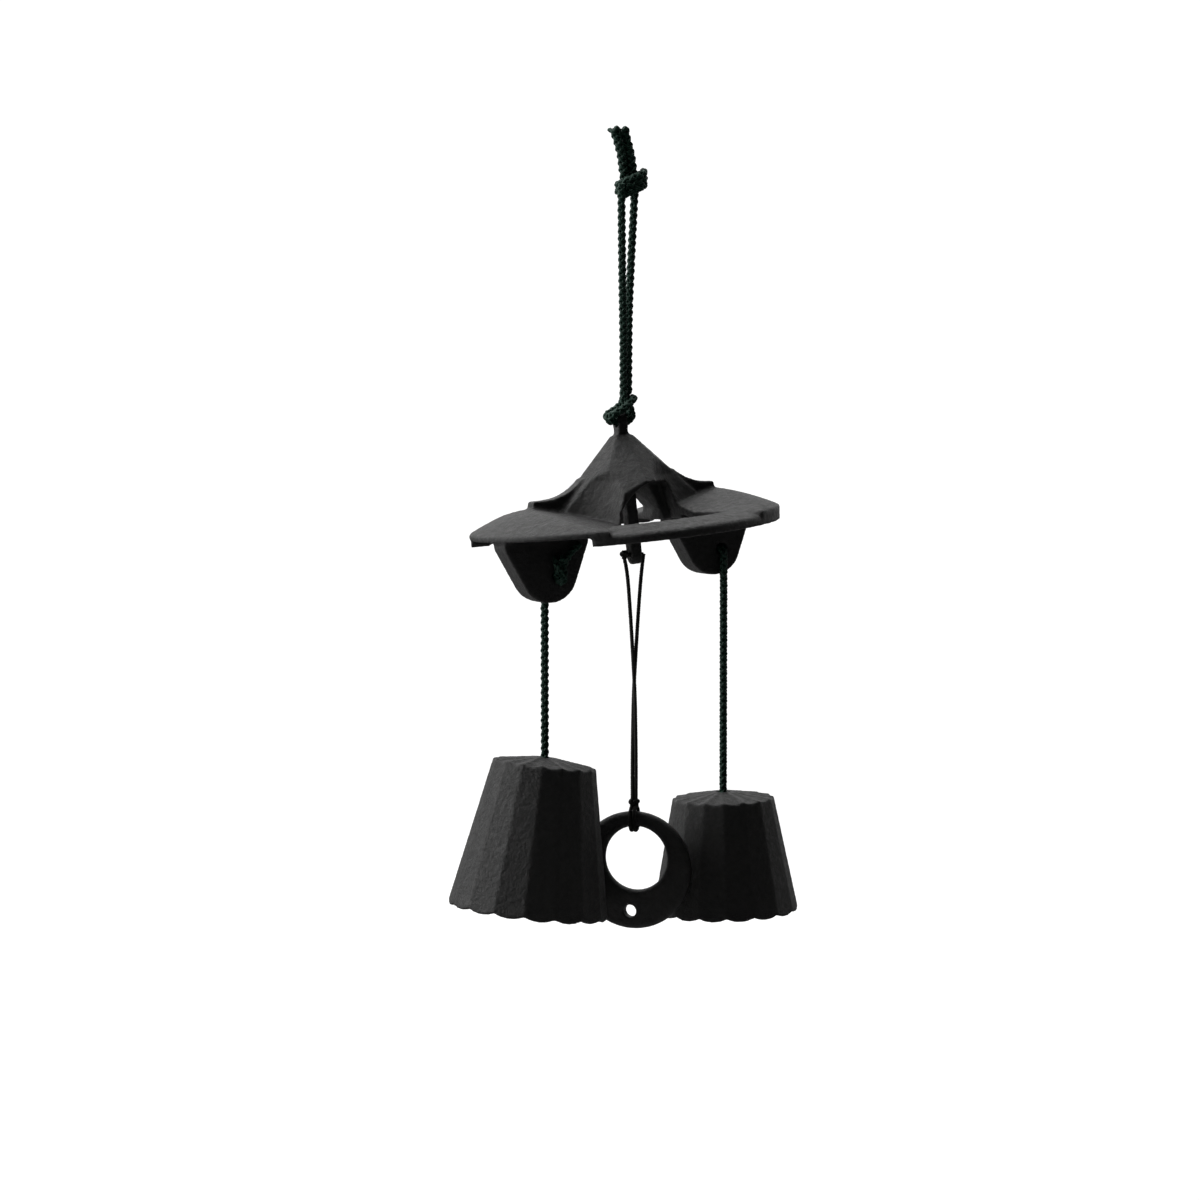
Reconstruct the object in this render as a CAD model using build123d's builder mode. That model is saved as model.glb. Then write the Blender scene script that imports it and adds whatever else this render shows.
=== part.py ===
from build123d import *
from math import acos, atan2, cos, pi, radians, sin, tan
import os

# Cast-iron furin wind bell: a roofed canopy on a cord loop, two fluted bells and a ring clapper.
# Driving dimensions in millimetres and degrees. The origin is where the loop lies over what it hangs from.
CORD_D = 3.0
THIN_CORD_D = 1.3
CORD_GAP = 0.3
BEND_SHARE = 0.45

# Hanging loop
ROD_D = 5.0
STRAND_SPREAD = 4.4
STRANDS_JOIN = 53.0
KNOT_WIDTH = 12.5
KNOT_HEIGHT = 9.5
EYE_KNOT_HEIGHT = 5.6
TAIL_LENGTH = 17.0
TAIL_LEAN = 4.0
TAIL_BEND = 1.0
SWING_ROOM = 0.8

# Canopy, in its own tilted frame with its ring plane at z = 0
CANOPY_TILT = 6.0
CANOPY_X = -1.2
RING_PLANE_DROP = 125.5
CANOPY_R = 59.8
WING_HALF_SPAN = 57.5
WING_TURN = 6.0
WING_INNER = 16.5
WING_LIP = 2.0
WING_LIP_TOP = 3.9
WING_ROOT_R = 38.0
WING_ROOT_TOP = 12.2
WING_BULGE = 0.7
WING_CORNER_TOP = 5.0
WING_THICKNESS = 3.4
BAR_LAP = 18.0
BAR_TURN = 18.0
BAR_WIDTH = 7.5
BAR_HEIGHT = 2.9
BAR_GAP = 0.4
BAND_RISE = 3.7
BAND_WIDTH = 11.0
BAND_EDGE = 0.8
SEAT_SPAN = 7.0

# Roof over the wings, beside the wings' own axis
ROOF_SHIFT = 2.2
ROOF_HEIGHT = 36.1
ROOF_TOP_R = 4.5
ROOF_SIDES = 8
ROOF_SPREAD = 0.98
RIDGE_TOP = 14.8
RIDGE_LENGTH = 37.6
RIDGE_WIDTH = 6.4
RIDGE_FLAT = 0.8
FLARE_X = 26.0
FLARE_FOOT_Y = 8.0
WAIST_FOOT_X = 17.0
WAIST_FOOT_Y = 14.0
WAIST_TOP_X = 15.0
WAIST_TOP_Y = 6.5
FRONT_FOOT_X = 10.5
FRONT_TOP_X = 6.0
FRONT_Y = 21.5
WALL_TOP = 20.0
CAVITY_R = 15.5
CAVITY_TOP = 30.0
DOOR_LEFT = 11.5
DOOR_SPRING = 6.9
DOOR_CROWN_X = 2.8
DOOR_CROWN = 18.3
DOOR_LINTEL_X = 14.0
DOOR_LINTEL = 16.6
DOOR_RIGHT = 18.0
DOOR_ARCH_X = 6.5
DOOR_ARCH = 13.3

# Cord lobes under the wings
BELL_SPACE = 8.6
LOBE_V = 13.5
LOBE_THICKNESS = 13.0
LOBE_TOP_WIDTH = 33.5
LOBE_FOOT_R = 11.0
LOBE_SHOULDER_DROP = 1.0
LOBE_DEPTH = 22.6
HOLE_SHIFT = 3.1
LOBE_HOLE_DEPTH = 12.6
CORD_HOLE_D = 4.2
LOBE_KNOT_D = 8.0
LOBE_KNOT_HEIGHT = 6.0

# Top eye and the tongue under the roof
EYE_WIDTH = 7.2
EYE_THICKNESS = 4.2
EYE_NECK = 4.6
EYE_HOLE_HEIGHT = 5.6
EYE_HOLE_D = 4.8
EYE_ROOM = 1.2
TONGUE_SHIFT = 0.6
TONGUE_ROOM = 1.0
TONGUE_WIDTH = 6.7
TONGUE_NECK = 5.0
TONGUE_THICKNESS = 4.4
TONGUE_DROP = 13.8
TONGUE_HOLE_DROP = 10.0
TONGUE_HOLE_D = 2.2

# Bells
FACETS = 16
BELL_WALL = 3.0
BELL_CROWN = 3.0
CROWN_RISE = 2.2
BELL_HOLE_D = 5.4
SCALLOP_DEPTH = 1.3
SCALLOP_SHARE = 0.9
SCALLOP_REACH = 15.0
FLUTE_DEPTH = 0.8
COLLAR_FLUTE_DEPTH = 0.27
FLUTE_SHARE = 0.96
LEFT_TOP_D = 39.4
LEFT_BASE_D = 61.6
LEFT_HEIGHT = 56.9
LEFT_CORD = 71.3
LEFT_TILT = 7.0
RIGHT_TOP_D = 39.8
RIGHT_BASE_D = 57.4
RIGHT_HEIGHT = 45.1
RIGHT_CORD = 97.2
RIGHT_TILT = 1.5
BELL_KNOT_D = 8.8
KNOT_ROOM = 0.35

# Clapper
RING_D = 45.6
RING_THICKNESS = 5.0
RING_EDGE = 1.9
RING_HOLE_D = 24.8
RING_HOLE_RISE = 4.7
RING_HOLE_SIDE = 0.9
STRIP_HOLE_D = 5.0
STRIP_HOLE_DROP = 15.9
STRIP_HOLE_SIDE = -1.2
RING_TURN = -36.0
CLAPPER_DROP = 122.3
STRANDS_MEET = 53.0
CLAPPER_KNOT_D = 4.0
CLAPPER_KNOT_HEIGHT = 3.0
TONGUE_KNOT_D = 3.8
TONGUE_KNOT_HEIGHT = 3.2

os.makedirs("parts", exist_ok=True)


def save(part, name):
    """Label a finished piece and write it as its own file."""
    part.label = name
    export_step(part, f"parts/{name}.step")


def upright(place):
    """Drawing plane through a point, facing the front, with its y axis up."""
    return Plane(origin=place, x_dir=(1, 0, 0), z_dir=(0, -1, 0))


def knot_outline(plane, width, height):
    """Half outline of a pulled-tight knot, beside the plane's y axis."""
    flat = (width - height) / 2
    with BuildSketch(plane) as outline:
        with BuildLine():
            Line((0, -height / 2), (flat, -height / 2))
            ThreePointArc((flat, -height / 2), (width / 2, 0), (flat, height / 2))
            Line((flat, height / 2), (0, height / 2))
            Line((0, height / 2), (0, -height / 2))
        make_face()
    return outline.sketch


def make_knot(name, plane, width, height):
    """A knot as a rounded barrel about the plane's y axis."""
    with BuildPart() as knot:
        add(knot_outline(plane, width, height))
        revolve(axis=Axis(plane.origin, plane.y_dir))
    save(knot.part, name)


def make_cord(name, points, diameter):
    """A cord along straight runs, with arcs as large as the runs allow at the corners."""
    radii = []
    for before, corner, after in zip(points, points[1:], points[2:]):
        turn = (corner - before).get_angle(after - corner)
        shorter = min((corner - before).length, (after - corner).length)
        radii.append(BEND_SHARE * shorter / tan(radians(turn / 2)))
    with BuildPart() as cord:
        with BuildLine() as route:
            if radii:
                FilletPolyline(*points, radius=radii)
            else:
                Line(*points)
        with BuildSketch(Plane(origin=points[0], z_dir=route.line % 0)):
            Circle(diameter / 2)
        sweep()
    length = route.wire().length
    tube = cord.part.volume / (pi * diameter**2 / 4 * length)
    print(name, "length", round(length, 1), "radii", [round(r, 1) for r in radii], "tube share", round(tube, 4))
    save(cord.part, name)


# Places worked out from the driving dimensions
CANOPY = Plane(
    origin=(CANOPY_X, 0, -RING_PLANE_DROP),
    x_dir=(cos(radians(CANOPY_TILT)), 0, sin(radians(CANOPY_TILT))),
    z_dir=(-sin(radians(CANOPY_TILT)), 0, cos(radians(CANOPY_TILT))),
)
ROOF = Plane(origin=CANOPY.from_local_coords(Vector(ROOF_SHIFT, 0, 0)), x_dir=CANOPY.x_dir, z_dir=CANOPY.z_dir)
ROOF_SIDE = Plane(origin=ROOF.origin, x_dir=ROOF.x_dir, z_dir=-ROOF.y_dir)
CANOPY_AXIS = Axis(CANOPY.origin, CANOPY.z_dir)
ROOF_AXIS = Axis(ROOF.origin, ROOF.z_dir)
EYE = ROOF.from_local_coords(Vector(0, 0, ROOF_HEIGHT + EYE_HOLE_HEIGHT))
TONGUE_PLACE = ROOF.from_local_coords(Vector(TONGUE_SHIFT, 0, 0))
TONGUE = ROOF.from_local_coords(Vector(TONGUE_SHIFT, 0, -TONGUE_HOLE_DROP))
LOBE_U = max(LEFT_BASE_D, RIGHT_BASE_D) / 2 + BELL_SPACE
LOBE_INNER = LOBE_V - LOBE_THICKNESS / 2
LEFT_HOLE = CANOPY.from_local_coords(Vector(HOLE_SHIFT - LOBE_U, -LOBE_INNER, -LOBE_HOLE_DEPTH))
RIGHT_HOLE = CANOPY.from_local_coords(Vector(HOLE_SHIFT + LOBE_U, LOBE_INNER, -LOBE_HOLE_DEPTH))
CORD_STAND = CORD_D / 2 + CORD_GAP

# Hanging loop: knot over the rod, two tails, two strands, knot on the eye and the bight through the eye
UPPER_KNOT = Vector(0, 0, ROD_D / 2 + CORD_GAP + KNOT_HEIGHT / 2)
LOWER_KNOT = Vector(EYE.X, 0, EYE.Z + EYE_WIDTH / 2 + EYE_ROOM + EYE_KNOT_HEIGHT / 2)
STRAND_DEPTH = ROD_D / 2 + CORD_D / 2
make_knot("upper_knot", upright(UPPER_KNOT), KNOT_WIDTH, KNOT_HEIGHT)
make_knot("lower_knot", upright(LOWER_KNOT), KNOT_WIDTH, EYE_KNOT_HEIGHT)
for side, name in ((-1, "front"), (1, "back")):
    strand_top = UPPER_KNOT + Vector(side * STRAND_SPREAD, side * STRAND_DEPTH, -CORD_D / 2)
    strand_join = Vector(LOWER_KNOT.X + side * CORD_STAND, 0, -STRANDS_JOIN)
    strand_foot = LOWER_KNOT + Vector(side * CORD_STAND, 0, EYE_KNOT_HEIGHT / 2 + CORD_GAP)
    make_cord(f"strand_{name}", [strand_top, strand_join, strand_foot], CORD_D)
    tail_root = UPPER_KNOT + Vector(side * CORD_STAND, 0, CORD_D)
    tail_bend = tail_root + Vector(-TAIL_BEND, side * CORD_GAP, TAIL_LENGTH / 2)
    tail_tip = tail_root + Vector(-TAIL_LEAN, 0, TAIL_LENGTH)
    make_cord(f"tail_{name}", [tail_root, tail_bend, tail_tip], CORD_D)

ARM = EYE_THICKNESS / 2 + EYE_ROOM + CORD_D / 2
ARM_TOP = LOWER_KNOT.Z - CORD_D / 2
BIGHT_BEND = CORD_D / 2 + CORD_GAP
with BuildPart() as eye_bight:
    with BuildLine() as bight_route:
        FilletPolyline(
            (EYE.X - ARM, 0, ARM_TOP),
            (EYE.X - ARM, 0, EYE.Z),
            (EYE.X + ARM, 0, EYE.Z),
            (EYE.X + ARM, 0, ARM_TOP),
            radius=BIGHT_BEND,
        )
    with BuildSketch(Plane(origin=(EYE.X - ARM, 0, ARM_TOP), z_dir=(0, 0, -1))):
        Circle(CORD_D / 2)
    sweep()
save(eye_bight.part, "eye_bight")


def radial_plane(angle):
    """Upright drawing plane through the canopy's axis, x outward at the angle and y up."""
    outward = CANOPY.x_dir * cos(radians(angle)) + CANOPY.y_dir * sin(radians(angle))
    return Plane(origin=CANOPY.origin, x_dir=outward, z_dir=outward.cross(CANOPY.z_dir))


def wall_plan(height, flare_y, waist_x, waist_y, front_x):
    """Plan of the roof's walls at a height: narrow ridge ends, hollow flanks and a flat front and back."""
    end_y = RIDGE_WIDTH / 2
    with BuildSketch(CANOPY.offset(height)) as plan:
        with BuildLine():
            for side in (1, -1):
                ridge_end = (side * RIDGE_LENGTH, side * end_y)
                flare = (side * FLARE_X, side * flare_y)
                far_flare = (-side * FLARE_X, side * flare_y)
                Polyline((side * RIDGE_LENGTH, -side * end_y), ridge_end, flare)
                ThreePointArc(flare, (side * waist_x, side * waist_y), (side * front_x, side * FRONT_Y))
                Line((side * front_x, side * FRONT_Y), (-side * front_x, side * FRONT_Y))
                ThreePointArc((-side * front_x, side * FRONT_Y), (-side * waist_x, side * waist_y), far_flare)
                Line(far_flare, (-side * RIDGE_LENGTH, side * end_y))
        make_face()
    return plan.sketch


def wing_cut(side):
    """Plane of a wing's flat corner, through the ridge end, the wall's foot and the rim's corner."""
    corner = radians(WING_TURN + side * WING_HALF_SPAN)
    ridge = Vector(WING_ROOT_R, side * RIDGE_WIDTH / 2, WING_ROOT_TOP)
    foot = Vector(WING_INNER, side * FRONT_Y, WING_CORNER_TOP)
    rim = Vector(CANOPY_R * cos(corner), CANOPY_R * sin(corner), WING_LIP_TOP)
    normal = (foot - ridge).cross(rim - ridge)
    if normal.Z < 0:
        normal = -normal
    place = CANOPY.from_local_coords(ridge)
    return Plane(origin=place, z_dir=CANOPY.from_local_coords(normal) - CANOPY.origin)


WING_SLOPE = (WING_ROOT_TOP - WING_LIP_TOP) / (CANOPY_R - WING_ROOT_R)
WING_FOOT = WING_LIP_TOP - WING_LIP


def wing_block(foot):
    """A solid wing from a foot height up to its top: a bulged cone sector with two flat corners."""
    middle_r = (CANOPY_R + WING_ROOT_R) / 2
    middle_top = (WING_LIP_TOP + WING_ROOT_TOP) / 2 + WING_BULGE
    root_top = WING_ROOT_TOP + WING_SLOPE * (WING_ROOT_R - WING_INNER)
    with BuildPart() as block:
        with BuildSketch(radial_plane(WING_TURN - WING_HALF_SPAN)):
            with BuildLine():
                Polyline((WING_INNER, root_top), (WING_INNER, foot), (CANOPY_R, foot), (CANOPY_R, WING_LIP_TOP))
                ThreePointArc((CANOPY_R, WING_LIP_TOP), (middle_r, middle_top), (WING_ROOT_R, WING_ROOT_TOP))
                Line((WING_ROOT_R, WING_ROOT_TOP), (WING_INNER, root_top))
            make_face()
        revolve(axis=CANOPY_AXIS, revolution_arc=2 * WING_HALF_SPAN)
        split(bisect_by=wing_cut(-1), keep=Keep.BOTTOM)
        split(bisect_by=wing_cut(1), keep=Keep.BOTTOM)
    return block.part


# The right wing, hollow below
with BuildPart() as wing:
    add(wing_block(WING_FOOT))
    add(wing.part.moved(Location(CANOPY.z_dir * -WING_THICKNESS)), mode=Mode.SUBTRACT)

# The right lobe: a thick rounded plate under the wing
LOBE_PLANE = Plane(
    origin=CANOPY.from_local_coords(Vector(LOBE_U, LOBE_V, 0)),
    x_dir=CANOPY.x_dir,
    z_dir=-CANOPY.y_dir,
)
LOBE_SHOULDER = Vector(LOBE_TOP_WIDTH / 2, -LOBE_SHOULDER_DROP)
LOBE_ROUND = Vector(0, LOBE_FOOT_R - LOBE_DEPTH)
TO_SHOULDER = LOBE_SHOULDER - LOBE_ROUND
LOBE_TURN = atan2(TO_SHOULDER.Y, TO_SHOULDER.X) - acos(LOBE_FOOT_R / TO_SHOULDER.length)
TOUCH_X = LOBE_FOOT_R * cos(LOBE_TURN)
TOUCH_Y = LOBE_ROUND.Y + LOBE_FOOT_R * sin(LOBE_TURN)
with BuildPart() as lobe:
    with BuildSketch(LOBE_PLANE):
        with BuildLine():
            Polyline((-TOUCH_X, TOUCH_Y), (-LOBE_SHOULDER.X, LOBE_SHOULDER.Y), (-LOBE_SHOULDER.X, WING_ROOT_TOP))
            Line((-LOBE_SHOULDER.X, WING_ROOT_TOP), (LOBE_SHOULDER.X, WING_ROOT_TOP))
            Polyline((LOBE_SHOULDER.X, WING_ROOT_TOP), (LOBE_SHOULDER.X, LOBE_SHOULDER.Y), (TOUCH_X, TOUCH_Y))
            ThreePointArc((TOUCH_X, TOUCH_Y), (0, -LOBE_DEPTH), (-TOUCH_X, TOUCH_Y))
        make_face()
    extrude(amount=LOBE_THICKNESS / 2, both=True)
    add(wing_block(-LOBE_DEPTH - WING_THICKNESS), mode=Mode.INTERSECT)

# The front bar between the wings: a lower tier, a sloped band over it, and seats that tie it to the wings
BAR_TOP = WING_FOOT - BAR_GAP
BAR_R = CANOPY_R - BAR_GAP / 2
BAND_HALF = 90 - WING_HALF_SPAN
BAND_START = WING_TURN - 90 - BAND_HALF
BAND_END = WING_TURN - 90 + BAND_HALF
BAR_HALF_SPAN = BAND_HALF + BAR_LAP
with BuildPart() as bar:
    with BuildSketch(radial_plane(BAR_TURN - 90 - BAR_HALF_SPAN)):
        with Locations((BAR_R - BAR_WIDTH / 2, BAR_TOP - BAR_HEIGHT / 2)):
            Rectangle(BAR_WIDTH, BAR_HEIGHT)
    revolve(axis=CANOPY_AXIS, revolution_arc=2 * BAR_HALF_SPAN)
    with BuildSketch(radial_plane(BAND_START)):
        with BuildLine():
            Polyline(
                (BAR_R - BAND_WIDTH, BAR_TOP - BAR_HEIGHT / 2),
                (BAR_R - BAND_EDGE, BAR_TOP - BAR_HEIGHT / 2),
                (BAR_R - BAND_EDGE, BAR_TOP + BAND_EDGE),
                (BAR_R - BAND_WIDTH + BAR_GAP, BAR_TOP + BAND_RISE),
                (BAR_R - BAND_WIDTH, BAR_TOP + BAND_RISE),
                close=True,
            )
        make_face()
    revolve(axis=CANOPY_AXIS, revolution_arc=2 * BAND_HALF)
    for start in (BAND_START - SEAT_SPAN, BAND_END):
        with BuildSketch(radial_plane(start)):
            with Locations((BAR_R - BAND_WIDTH / 2 - BAR_GAP, (WING_LIP_TOP + BAR_TOP - BAR_HEIGHT) / 2)):
                Rectangle(BAND_WIDTH - BAR_GAP, WING_LIP_TOP - BAR_TOP + BAR_HEIGHT)
        revolve(axis=CANOPY_AXIS, revolution_arc=SEAT_SPAN)

# The front doorway: an arch that leans to the left and stands square at the right
DOOR_FOOT = WING_FOOT - WING_THICKNESS
with BuildPart() as doorway:
    with BuildSketch(ROOF_SIDE):
        with BuildLine():
            Polyline((DOOR_RIGHT, DOOR_FOOT), (-DOOR_LEFT, DOOR_FOOT), (-DOOR_LEFT, DOOR_SPRING))
            ThreePointArc((-DOOR_LEFT, DOOR_SPRING), (-DOOR_ARCH_X, DOOR_ARCH), (DOOR_CROWN_X, DOOR_CROWN))
            Polyline((DOOR_CROWN_X, DOOR_CROWN), (DOOR_LINTEL_X, DOOR_LINTEL), (DOOR_RIGHT, DOOR_FOOT))
        make_face()
    extrude(amount=FRONT_Y + BAND_WIDTH / 2)

# Plans of the walls, from their foot to the top of the roof
WALL_PLANS = [wall_plan(WING_FOOT, FLARE_FOOT_Y, WAIST_FOOT_X, WAIST_FOOT_Y, FRONT_FOOT_X)]
for height in (WALL_TOP, ROOF_HEIGHT):
    WALL_PLANS.append(wall_plan(height, RIDGE_WIDTH / 2, WAIST_TOP_X, WAIST_TOP_Y, FRONT_TOP_X))

# Ridge across the roof, level at its ends and swept up into the slopes of the roof
ROOF_LEAN = atan2(1, ROOF_SPREAD)
SWEEP_SPACE = RIDGE_LENGTH - RIDGE_FLAT - ROOF_SHIFT - ROOF_TOP_R - (ROOF_HEIGHT - RIDGE_TOP) * ROOF_SPREAD
SWEEP_R = SWEEP_SPACE / (sin(ROOF_LEAN) - ROOF_SPREAD * (1 - cos(ROOF_LEAN)))
SWEEP_TOP = RIDGE_TOP + SWEEP_R * (1 - cos(ROOF_LEAN))
SWEEP_MIDDLE = RIDGE_TOP + SWEEP_R * (1 - cos(ROOF_LEAN / 2))
SWEEP_X = ROOF_TOP_R + (ROOF_HEIGHT - SWEEP_TOP) * ROOF_SPREAD
with BuildPart() as ridge:
    with BuildSketch(Plane(origin=CANOPY.origin, x_dir=CANOPY.x_dir, z_dir=-CANOPY.y_dir)):
        with BuildLine():
            for side in (1, -1):
                inner = ROOF_SHIFT + side * SWEEP_X
                outer = inner + side * SWEEP_R * sin(ROOF_LEAN)
                middle = outer - side * SWEEP_R * sin(ROOF_LEAN / 2)
                end_x = side * RIDGE_LENGTH
                Polyline((0, WING_FOOT), (end_x, WING_FOOT), (end_x, RIDGE_TOP), (outer, RIDGE_TOP))
                ThreePointArc((outer, RIDGE_TOP), (middle, SWEEP_MIDDLE), (inner, SWEEP_TOP))
                Line((inner, SWEEP_TOP), (0, SWEEP_TOP))
        make_face()
    extrude(amount=RIDGE_WIDTH / 2, both=True)

# Canopy casting: roof and ridge within the walls, wings, bars and lobes, hollow inside, with the doorways
TONGUE_ROOT = CAVITY_TOP + SWING_ROOM
TIP = TONGUE_WIDTH / 2
TIP_HEIGHT = TIP - TONGUE_DROP
EYE_R = EYE_WIDTH / 2
EYE_FOOT = -EYE_HOLE_HEIGHT - SWING_ROOM
with BuildPart() as canopy:
    with BuildSketch(ROOF.offset(WING_FOOT)):
        RegularPolygon(ROOF_TOP_R + (ROOF_HEIGHT - WING_FOOT) * ROOF_SPREAD, ROOF_SIDES)
    with BuildSketch(ROOF.offset(ROOF_HEIGHT)):
        RegularPolygon(ROOF_TOP_R, ROOF_SIDES)
    loft(ruled=True)
    add(ridge.part)
    loft(WALL_PLANS, ruled=True, mode=Mode.INTERSECT)
    for piece in (wing, lobe, bar):
        add(piece.part)
        add(piece.part.rotate(CANOPY_AXIS, 180))
    with BuildSketch(ROOF.offset(DOOR_FOOT)):
        RegularPolygon(CAVITY_R, ROOF_SIDES)
    with BuildSketch(ROOF.offset(CAVITY_TOP)):
        RegularPolygon(ROOF_TOP_R, ROOF_SIDES)
    loft(ruled=True, mode=Mode.SUBTRACT)
    add(doorway.part, mode=Mode.SUBTRACT)
    add(doorway.part.rotate(ROOF_AXIS, 180), mode=Mode.SUBTRACT)
    with BuildSketch(Plane(origin=TONGUE_PLACE, x_dir=ROOF.y_dir, z_dir=ROOF.x_dir)):
        with BuildLine():
            Polyline((-TIP, TIP_HEIGHT), (-TONGUE_NECK / 2, TONGUE_ROOT), (TONGUE_NECK / 2, TONGUE_ROOT))
            Line((TONGUE_NECK / 2, TONGUE_ROOT), (TIP, TIP_HEIGHT))
            ThreePointArc((TIP, TIP_HEIGHT), (0, -TONGUE_DROP), (-TIP, TIP_HEIGHT))
        make_face()
    extrude(amount=TONGUE_THICKNESS / 2, both=True)
    with BuildSketch(Plane(origin=TONGUE, z_dir=ROOF.x_dir)):
        Circle(TONGUE_HOLE_D / 2)
    extrude(amount=TONGUE_WIDTH, both=True, mode=Mode.SUBTRACT)
    for hole, side in ((LEFT_HOLE, -1), (RIGHT_HOLE, 1)):
        with BuildSketch(Plane(origin=hole, z_dir=(0, side, 0))):
            Circle(CORD_HOLE_D / 2)
        extrude(amount=LOBE_THICKNESS, mode=Mode.SUBTRACT)
    with BuildSketch(Plane(origin=EYE, x_dir=ROOF.y_dir, z_dir=ROOF.x_dir)):
        with BuildLine():
            Polyline((-EYE_R, 0), (-EYE_NECK / 2, EYE_FOOT), (EYE_NECK / 2, EYE_FOOT), (EYE_R, 0))
            ThreePointArc((EYE_R, 0), (0, EYE_R), (-EYE_R, 0))
        make_face()
        Circle(EYE_HOLE_D / 2, mode=Mode.SUBTRACT)
    extrude(amount=EYE_THICKNESS / 2, both=True)
save(canopy.part, "canopy")
print("canopy solids", len(canopy.part.solids()), "volume", round(canopy.part.volume))

# Knots of the bell cords on the outer faces of the lobes, with the cord through the hole
for side, hole, name in ((-1, LEFT_HOLE, "left"), (1, RIGHT_HOLE, "right")):
    knot_place = hole + Vector(0, side * (LOBE_THICKNESS + CORD_GAP + LOBE_KNOT_HEIGHT / 2), 0)
    knot_plane = Plane(origin=knot_place, x_dir=(1, 0, 0), z_dir=(0, 0, 1))
    with BuildPart() as lobe_knot:
        add(knot_outline(knot_plane, LOBE_KNOT_D, LOBE_KNOT_HEIGHT))
        revolve(axis=Axis(knot_place, (0, 1, 0)))
        with BuildSketch(Plane(origin=hole, z_dir=(0, side, 0))):
            Circle(CORD_D / 2)
        extrude(amount=LOBE_THICKNESS + LOBE_KNOT_HEIGHT / 2)
    save(lobe_knot.part, f"lobe_knot_{name}")


def around(part, frame, start):
    """Copies of a part about a frame's axis, one for each facet."""
    axis = Axis(frame.origin, frame.z_dir)
    return [part.rotate(axis, start + facet * 360 / FACETS) for facet in range(FACETS)]


def make_bell(name, frame, top_d, base_d, height):
    """A hollow faceted bell with a low fluted crown. Its frame's origin is the middle of the crown's thickness."""
    crown = BELL_CROWN / 2
    rim = crown - CROWN_RISE
    foot = rim - height
    half_facet = radians(180 / FACETS)
    spread = (base_d - top_d) / 2 / height
    collar = BELL_HOLE_D
    shoulder = top_d / 2 + spread * BELL_CROWN - BELL_WALL
    notch_half = base_d / 2 * sin(half_facet) * SCALLOP_SHARE
    notch_plane = Plane(
        origin=frame.from_local_coords(Vector((base_d - SCALLOP_REACH) / 2, 0, foot)),
        x_dir=-frame.y_dir,
        z_dir=-frame.x_dir,
    )
    bow_x = notch_half * cos(pi / 3)
    bow_y = SCALLOP_DEPTH * (1 - sin(pi / 3)) * 2
    with BuildPart() as notch:
        with BuildSketch(notch_plane):
            with BuildLine():
                Polyline((-notch_half, 0), (-notch_half, -BELL_WALL), (notch_half, -BELL_WALL), (notch_half, 0))
                ThreePointArc((notch_half, 0), (bow_x, bow_y), (0, SCALLOP_DEPTH))
                ThreePointArc((0, SCALLOP_DEPTH), (-bow_x, bow_y), (-notch_half, 0))
            make_face()
        extrude(amount=-SCALLOP_REACH)
    with BuildPart() as flute:
        for reach, depth, top in ((collar, COLLAR_FLUTE_DEPTH, crown), (top_d / 2, FLUTE_DEPTH, rim)):
            chord = reach * sin(half_facet) * FLUTE_SHARE
            flute_r = (chord**2 + depth**2) / (2 * depth)
            centre = frame.from_local_coords(Vector(reach, 0, top + flute_r - depth))
            with BuildSketch(Plane(origin=centre, z_dir=frame.x_dir)):
                Circle(flute_r)
        loft(ruled=True)
    with BuildPart() as bell:
        with BuildSketch(frame.offset(rim)):
            RegularPolygon(top_d / 2, FACETS)
        with BuildSketch(frame.offset(foot)):
            RegularPolygon(base_d / 2, FACETS)
        loft(ruled=True)
        with BuildSketch(frame.offset(rim)):
            RegularPolygon(top_d / 2, FACETS)
        with BuildSketch(frame.offset(crown)):
            RegularPolygon(collar, FACETS)
        loft(ruled=True)
        with BuildSketch(frame.offset(rim - BELL_CROWN)):
            Circle(shoulder)
        with BuildSketch(frame.offset(foot)):
            Circle(base_d / 2 - BELL_WALL)
        loft(ruled=True, mode=Mode.SUBTRACT)
        with BuildSketch(frame.offset(rim - BELL_CROWN)):
            Circle(shoulder)
        with BuildSketch(frame.offset(-crown)):
            Circle(collar)
        loft(ruled=True, mode=Mode.SUBTRACT)
        with BuildSketch(frame.offset(crown)):
            Circle(BELL_HOLE_D / 2)
        extrude(amount=-BELL_CROWN, mode=Mode.SUBTRACT)
        add(around(notch.part, frame, 0), mode=Mode.SUBTRACT)
        add(around(flute.part, frame, 180 / FACETS), mode=Mode.SUBTRACT)
    print(name, "solids", len(bell.part.solids()), "volume", round(bell.part.volume))
    save(bell.part, name)


# Bells on their cords: each leans away from the ring clapper, on a stopper knot under its crown
BELLS = {
    "left": (LEFT_HOLE, 1, LEFT_CORD, LEFT_TILT, LEFT_TOP_D, LEFT_BASE_D, LEFT_HEIGHT),
    "right": (RIGHT_HOLE, -1, RIGHT_CORD, RIGHT_TILT, RIGHT_TOP_D, RIGHT_BASE_D, RIGHT_HEIGHT),
}
for name, (hole, side, cord, tilt, top_d, base_d, height) in BELLS.items():
    cord_top = hole + Vector(0, side * CORD_STAND, CORD_D / 2)
    pivot = hole + Vector(0, side * CORD_STAND, -cord)
    lean = radians(tilt) * side
    bell_frame = Plane(origin=pivot, x_dir=(cos(lean), 0, -sin(lean)), z_dir=(sin(lean), 0, cos(lean)))
    stopper = pivot - Vector(0, 0, BELL_CROWN / 2 + KNOT_ROOM + BELL_KNOT_D / 2)
    make_bell(f"bell_{name}", bell_frame, top_d, base_d, height)
    make_cord(f"bell_cord_{name}", [cord_top, stopper + Vector(0, 0, CORD_D / 2)], CORD_D)
    with BuildPart(upright(stopper)) as bell_knot:
        Sphere(BELL_KNOT_D / 2)
    save(bell_knot.part, f"bell_knot_{name}")
    print(f"bell_{name}", "pivot", pivot)

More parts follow.
